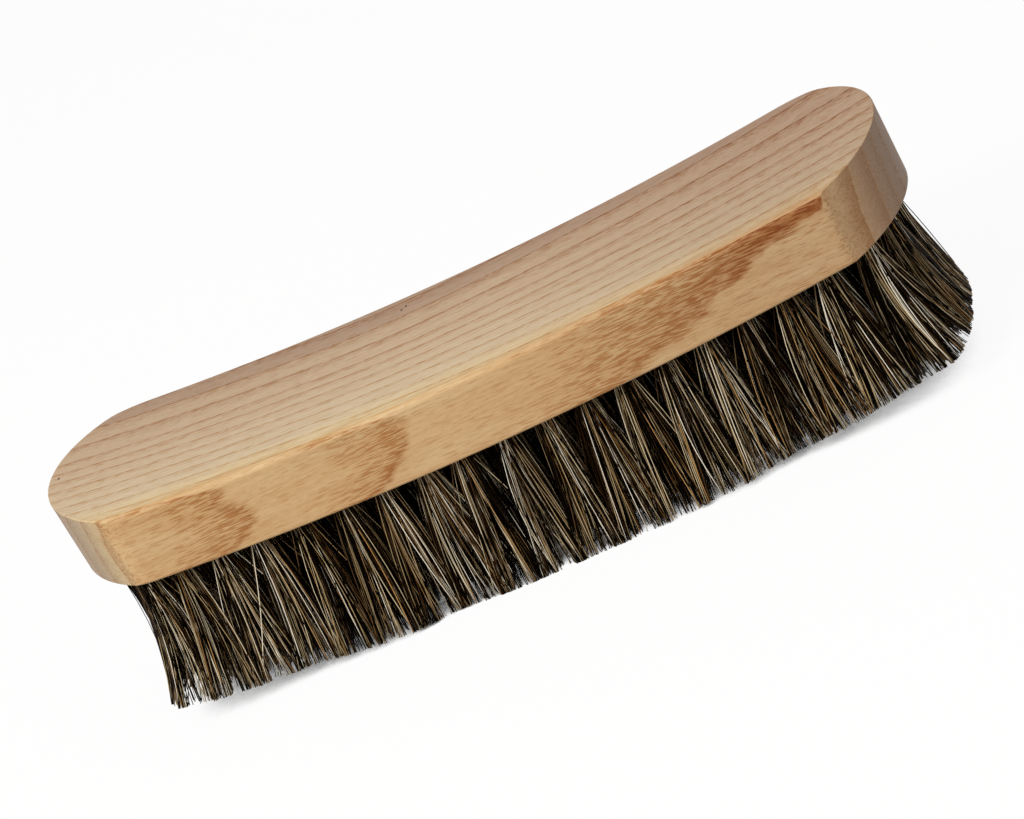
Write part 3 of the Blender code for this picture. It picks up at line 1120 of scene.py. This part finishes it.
# %% The outer limits of the hair
SIDE_LIMITS = (
    (-95, 32.0),
    (-82, 33.4),
    (-60, 31.6),
    (-37, 33.2),
    (-26, 30.4),
    (-10, 32.2),
    (20, 32.6),
    (44, 33.5),
    (56, 31.0),
    (70, 32.8),
    (95, 32.0),
)
RIGHT_LIMITS = (
    (-33, 94.0),
    (-30, 97.6),
    (-26, 99.6),
    (-20, 101.8),
    (-7, 103.4),
    (0, 103.2),
    (12, 101.3),
    (19, 99.8),
    (28, 96.5),
    (33, 92.0),
)
LEFT_LIMITS = (
    (-33, 91.5),
    (-30, 94.0),
    (-20, 95.2),
    (-10, 96.2),
    (0, 97.2),
    (12, 97.0),
    (20, 95.5),
    (28, 93.0),
    (33, 90.0),
)
FOLD = 1.15


def limit(places, table):
    """The reach of the hair at each place, read from a table in mm."""
    known, reach = zip(*table)
    return np.interp(places / MM, known, reach) * MM


def fold_back(tip):
    """Turn the ends that would stand out past the brush's outline back inside it."""
    across = np.sign(tip[:, 1])
    over = np.maximum(abs(tip[:, 1]) - limit(-across * tip[:, 0], SIDE_LIMITS), 0)
    tip[:, 1] -= across * over * FOLD
    right = limit(tip[:, 1], RIGHT_LIMITS)
    left = limit(tip[:, 1], LEFT_LIMITS)
    tip[:, 0] -= np.maximum(tip[:, 0] - right, 0) * FOLD
    tip[:, 0] += np.maximum(-left - tip[:, 0], 0) * FOLD
    return tip


print("reach at the middle of the right end, mm:", limit(0.0, RIGHT_LIMITS) / MM)

# %% The path of every hair in a tuft
TRIM_BEND_RADIUS = 600.0 * MM
STANDING_CUT = 0.5 * MM
LOWEST_TIP = 0.05 * MM
HAIRS_IN_TUFT = 235
HAIRS_IN_END_TUFT = 400
END_TUFT_SPREAD = 1.25
HAIR_RADIUS = 0.115 * MM
HAIR_STEPS = 6
ROOT_DEPTH = 5.0 * MM
ROOT_SPREAD = 0.6
ROOT_SCATTER = 0.35
TUFT_REACH = np.array((6.0, 6.2)) * MM
LOCKS_ACROSS = 4
LOCK_WIDTH = 0.6 * MM
LOOSE_SHARE = 0.3
RIM_POWER = 0.75
STRAY_SHARE = 0.035
STRAY_REACH = np.array((15.0, 4.0)) * MM
TUFT_LENGTHS = 0.3 * MM
LOCK_LENGTHS = 0.25 * MM
HAIR_LENGTHS = 0.3 * MM
LOCK_BOW = 0.55 * MM
HAIR_BOW = 0.35 * MM
RIGHT_BOW = -0.4 * MM
LEFT_BOW = -0.7 * MM
LOCK_TONES = 0.09

dice = np.random.default_rng(11)


def towards_rim(shares):
    """Push shares from -1 to 1 outwards, so that a tuft's edge is as full as its middle."""
    return np.sign(shares) * abs(shares) ** RIM_POWER


def lock_places():
    """Middles of a tuft's locks, one in each cell of a square grid, from -1 to 1."""
    cell = np.stack(np.meshgrid(np.arange(LOCKS_ACROSS), np.arange(LOCKS_ACROSS)), axis=-1)
    inside = dice.uniform(0, 1, cell.shape)
    return towards_rim((cell + inside) / LOCKS_ACROSS * 2 - 1).reshape(-1, 2)


def spread_tips(locks, chosen):
    """Ends of the hairs round the middle of the tuft: in locks, loose between them, or astray."""
    count = len(chosen)
    tip = locks[chosen] * TUFT_REACH + dice.normal(0, LOCK_WIDTH, (count, 2))
    lot = dice.uniform(0, 1, count)[:, None]
    loose = towards_rim(dice.uniform(-1, 1, (count, 2))) * TUFT_REACH
    stray = dice.uniform(-1, 1, (count, 2)) * STRAY_REACH
    tip = np.where(lot < LOOSE_SHARE, loose, tip)
    return np.where(lot > 1 - STRAY_SHARE, stray, tip)


def root_places(hole, tip):
    """Places of the hairs in the hole, each on the side where its end lies."""
    root = tip / TUFT_REACH * ROOT_SPREAD + dice.normal(0, ROOT_SCATTER, tip.shape)
    from_middle = np.linalg.norm(root, axis=1, keepdims=True)
    hole_radius = HOLE_DIAMETER / 2 - HAIR_RADIUS
    return root / np.maximum(from_middle, 1) * hole_radius + np.array((hole.x, hole.y))


def tip_heights(tip, chosen, lock_count):
    """Heights of the ends: a trimmed crown, ragged by tuft, by lock and by hair."""
    trimmed = TRIM_BEND_RADIUS - np.sqrt(TRIM_BEND_RADIUS**2 - tip[:, 0] ** 2) - STANDING_CUT
    lock_lengths = dice.uniform(0, LOCK_LENGTHS, lock_count)
    ragged = dice.uniform(0, TUFT_LENGTHS) + lock_lengths[chosen]
    ragged = ragged + dice.uniform(0, HAIR_LENGTHS, len(chosen))
    return np.maximum(trimmed + ragged, LOWEST_TIP)


def hair_bows(hole, chosen, lock_count):
    """How far each hair bows aside: by its lock, by chance, and with its end of the brush."""
    bow = dice.normal(0, LOCK_BOW, (lock_count, 2))[chosen]
    bow = bow + dice.normal(0, HAIR_BOW, bow.shape)
    end_bow = RIGHT_BOW if hole.x > 0 else LEFT_BOW
    bow[:, 0] += math.copysign(end_bow, end_bow * hole.x) * (hole.x / END_CENTRE) ** LEAN_POWER
    return bow


def hair_paths(root, tip, bow, mouth_z, tip_z):
    """Points along each hair: one deep in the hole, and a bowed line from its mouth."""
    points = np.empty((len(root), HAIR_STEPS + 2, 3))
    points[:, 0, :2] = root
    points[:, 0, 2] = mouth_z + ROOT_DEPTH
    for step in range(HAIR_STEPS + 1):
        share = step / HAIR_STEPS
        curve = math.sin(math.pi * share)
        points[:, step + 1, :2] = root + (tip - root) * share + bow * curve
        points[:, step + 1, 2] = mouth_z + (tip_z - mouth_z) * share
    return points


def tuft_of_hair(hole):
    """Middle lines of a tuft's hairs, as hairs by points by coordinates, and their tones."""
    at_end = abs(hole.x) > rows[-2][0].x
    count = HAIRS_IN_END_TUFT if at_end else HAIRS_IN_TUFT
    locks = lock_places()
    chosen = dice.integers(0, len(locks), count)
    tip = spread_tips(locks, chosen)
    root = root_places(hole, tip)
    if at_end:
        tip *= END_TUFT_SPREAD
    tip = fold_back(tip + tip_middle(hole))
    tip_z = tip_heights(tip, chosen, len(locks))
    bow = hair_bows(hole, chosen, len(locks))
    tones = dice.uniform(0, 1, count) + dice.normal(0, LOCK_TONES, len(locks))[chosen]
    return hair_paths(root, tip, bow, underside_height(hole.x), tip_z), tones


print("hairs in a tuft, and in one at an end:", HAIRS_IN_TUFT, HAIRS_IN_END_TUFT)

# %% Tubes round the paths
HAIR_SIDES = 3
RADIUS_SHARES = (0.75, 1.25)
LEVEL_DIRECTION = (1.0, 0.3, 0.0)


def unit(vectors):
    """Vectors of the same directions with a length of 1."""
    return vectors / np.linalg.norm(vectors, axis=-1, keepdims=True)


def tube_points(paths):
    """A ring of points round every point of every path."""
    along = unit(np.gradient(paths, axis=1))
    side = unit(np.cross(along, LEVEL_DIRECTION))
    other = np.cross(along, side)
    radius = HAIR_RADIUS * dice.uniform(*RADIUS_SHARES, (len(paths), 1, 1))
    corners = []
    for corner in range(HAIR_SIDES):
        angle = 2 * math.pi * corner / HAIR_SIDES
        corners.append(paths + radius * (side * math.cos(angle) + other * math.sin(angle)))
    return np.stack(corners, axis=2).reshape(-1, 3)


def tube_faces(hairs, steps):
    """The faces along every tube, and those that close its two ends."""
    corners = np.arange(HAIR_SIDES)
    start = np.arange(hairs)[:, None] * steps * HAIR_SIDES
    ring = start[:, :, None] + np.arange(steps - 1)[None, :, None] * HAIR_SIDES
    here = ring + corners
    after = ring + (corners + 1) % HAIR_SIDES
    quads = np.stack([here, after, after + HAIR_SIDES, here + HAIR_SIDES], axis=-1)
    roots = start + corners[::-1]
    tips = start + (steps - 1) * HAIR_SIDES + corners
    return quads.reshape(-1, 4).tolist() + roots.tolist() + tips.tolist()


def tube_mesh(name, paths, tones):
    """Slim closed tubes round many paths, in one mesh that keeps the tone of each hair."""
    hairs, steps = paths.shape[:2]
    mesh = bpy.data.meshes.new(name)
    mesh.from_pydata(tube_points(paths).tolist(), [], tube_faces(hairs, steps))
    tone = mesh.attributes.new("hair_tone", "FLOAT", "POINT")
    tone.data.foreach_set("value", np.repeat(tones, steps * HAIR_SIDES))
    mesh.shade_smooth()
    return mesh


print("faces of one hair:", len(tube_faces(1, HAIR_STEPS + 2)))

# %% [markdown]
# # The colour of horsehair
#
# The hair is a natural mix of black, brown, blond and grey. A noise texture would
# blotch it, because a hair keeps its colour from root to end. So each hair carries
# its own tone, a number stored on its points, and the material turns that number
# into a colour. The hairs of one lock grew side by side, so their tones lean one way.
# Horsehair shines only a little, with a warm light along its length.

# %% The hair's material
HAIR_COLOURS = (
    (0.0, paint(0, 0, 0)),
    (0.47, paint(5, 3, 1)),
    (0.56, paint(54, 32, 15)),
    (0.63, paint(98, 76, 50)),
    (0.66, paint(140, 98, 50)),
    (0.69, paint(146, 125, 94)),
    (0.78, paint(190, 165, 120)),
    (0.81, paint(196, 148, 88)),
    (0.84, paint(184, 168, 134)),
    (0.93, paint(224, 206, 170)),
    (1.0, paint(248, 240, 222)),
)
HAIR_ROUGHNESS = 0.45
HAIR_SPECULAR = 0.05
HAIR_SHINE_TINT = paint(255, 214, 168)


def hair_material():
    material, tree, shader = new_material("mixed_horsehair")
    tone = tree.nodes.new("ShaderNodeAttribute")
    tone.attribute_name = "hair_tone"
    colour = colour_ramp(tree, tone.outputs["Fac"], HAIR_COLOURS)
    tree.links.new(colour, shader.inputs["Base Color"])
    shader.inputs["Roughness"].default_value = HAIR_ROUGHNESS
    shader.inputs["Specular IOR Level"].default_value = HAIR_SPECULAR
    shader.inputs["Specular Tint"].default_value = HAIR_SHINE_TINT
    return material


horsehair = hair_material()
print("colours of hair:", len(HAIR_COLOURS))

# %% Make the rows


def make_hair_row(index, row):
    paths, tones = zip(*[tuft_of_hair(hole) for hole in row])
    mesh = tube_mesh(f"hair_row_{index:02d}", np.concatenate(paths), np.concatenate(tones))
    mesh.materials.append(horsehair)
    hair = bpy.data.objects.new(mesh.name, mesh)
    scene.collection.objects.link(hair)
    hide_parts(f"tuft_row_{index:02d}")
    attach(hair, "root")
    return len(mesh.polygons)


face_count = sum(make_hair_row(index + 1, row) for index, row in enumerate(rows))
print("faces of hair:", face_count)

# %% [markdown]
#
# The frame and the dressed brush are each measured by the box round them, and both
# sizes are printed in millimetres. The dressed brush has to keep the size of its
# frame.

# %% Measure both boxes
dressed_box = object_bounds()
boxes = {
    "frame": [[float(value) for value in corner] for corner in frame_box],
    "dressed": [[float(value) for value in corner] for corner in dressed_box],
}
for name, (low, high) in boxes.items():
    print(name, [round((top - bottom) / MM, 1) for bottom, top in zip(low, high)])
